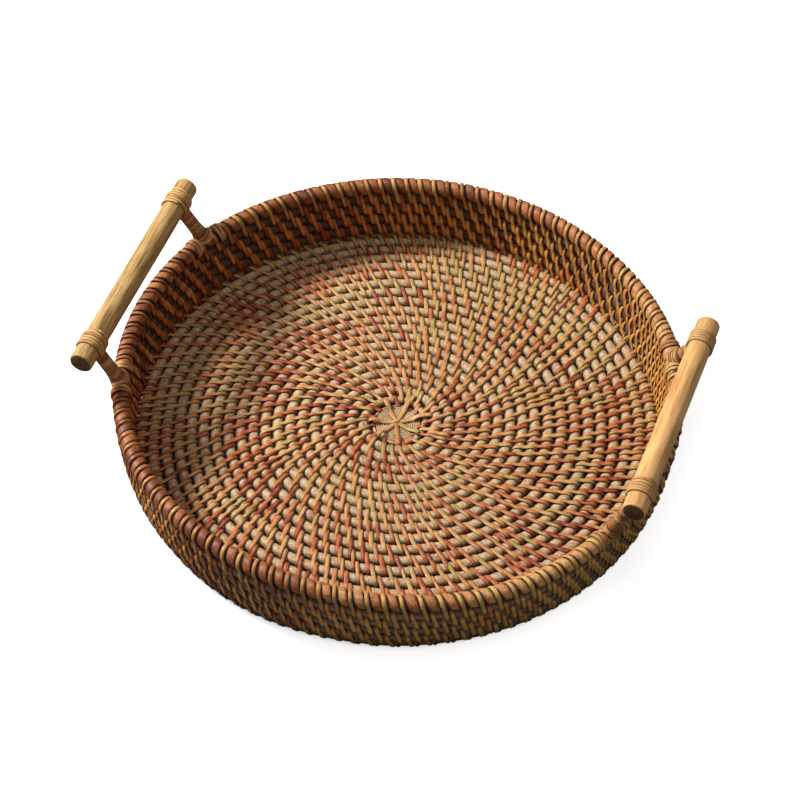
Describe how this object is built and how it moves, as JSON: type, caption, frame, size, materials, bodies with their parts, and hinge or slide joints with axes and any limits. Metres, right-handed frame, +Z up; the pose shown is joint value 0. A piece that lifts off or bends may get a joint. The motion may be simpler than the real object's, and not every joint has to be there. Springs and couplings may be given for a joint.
{
  "type": "serving tray",
  "caption": "Round coiled-rattan serving tray with a flat floor, a low upright wall, a thick bound rim and straight wooden grips lashed to wrapped posts on both sides.",
  "frame": {"origin": "centre of the tray's underside", "axes": "+Z up; +X towards the right grip; the two grips lie along Y"},
  "size_m": [0.3116, 0.2996, 0.0795],
  "materials": {
    "core_cane": "peeled rattan cane, pale greyish beige, matt, fine lengthwise grain",
    "binding_strip": "split rattan peel, warm tan to red-brown and varying from strip to strip, soft sheen",
    "start_cane": "thin pale cane, matt",
    "grip_wood": "honey-coloured wooden dowel, fine lengthwise grain, satin, darker end grain",
    "lashing_strip": "split rattan peel wound tight, tan to reddish brown, soft sheen"
  },
  "bodies": {
    "root": {"base_binding_01": "binding_strip", "base_binding_02": "binding_strip", "base_binding_03": "binding_strip", "base_binding_04": "binding_strip", "base_binding_05": "binding_strip", "base_binding_06": "binding_strip", "base_binding_07": "binding_strip", "base_binding_08": "binding_strip", "base_binding_09": "binding_strip", "base_binding_10": "binding_strip", "base_binding_11": "binding_strip", "base_binding_12": "binding_strip", "base_binding_13": "binding_strip", "base_binding_14": "binding_strip", "base_binding_15": "binding_strip", "base_binding_16": "binding_strip", "base_binding_17": "binding_strip", "base_binding_18": "binding_strip", "base_binding_19": "binding_strip", "base_core_cane_1": "core_cane", "base_core_cane_2": "core_cane", "base_core_cane_3": "core_cane", "centre_spokes": "start_cane", "centre_start_coil": "start_cane", "left_front_foot_lashing": "lashing_strip", "left_front_grip_lashing": "lashing_strip", "left_front_post": "core_cane", "left_front_post_wrap": "lashing_strip", "left_grip": "grip_wood", "left_rear_foot_lashing": "lashing_strip", "left_rear_grip_lashing": "lashing_strip", "left_rear_post": "core_cane", "left_rear_post_wrap": "lashing_strip", "right_front_foot_lashing": "lashing_strip", "right_front_grip_lashing": "lashing_strip", "right_front_post": "core_cane", "right_front_post_wrap": "lashing_strip", "right_grip": "grip_wood", "right_rear_foot_lashing": "lashing_strip", "right_rear_grip_lashing": "lashing_strip", "right_rear_post": "core_cane", "right_rear_post_wrap": "lashing_strip", "rim_binding": "binding_strip", "rim_core": "core_cane", "rim_wrap": "binding_strip", "wall_binding_1": "binding_strip", "wall_binding_2": "binding_strip", "wall_binding_3": "binding_strip", "wall_binding_4": "binding_strip", "wall_coil_1": "core_cane", "wall_coil_2": "core_cane", "wall_coil_3": "core_cane", "wall_coil_4": "core_cane"}
  },
  "joints": []
}
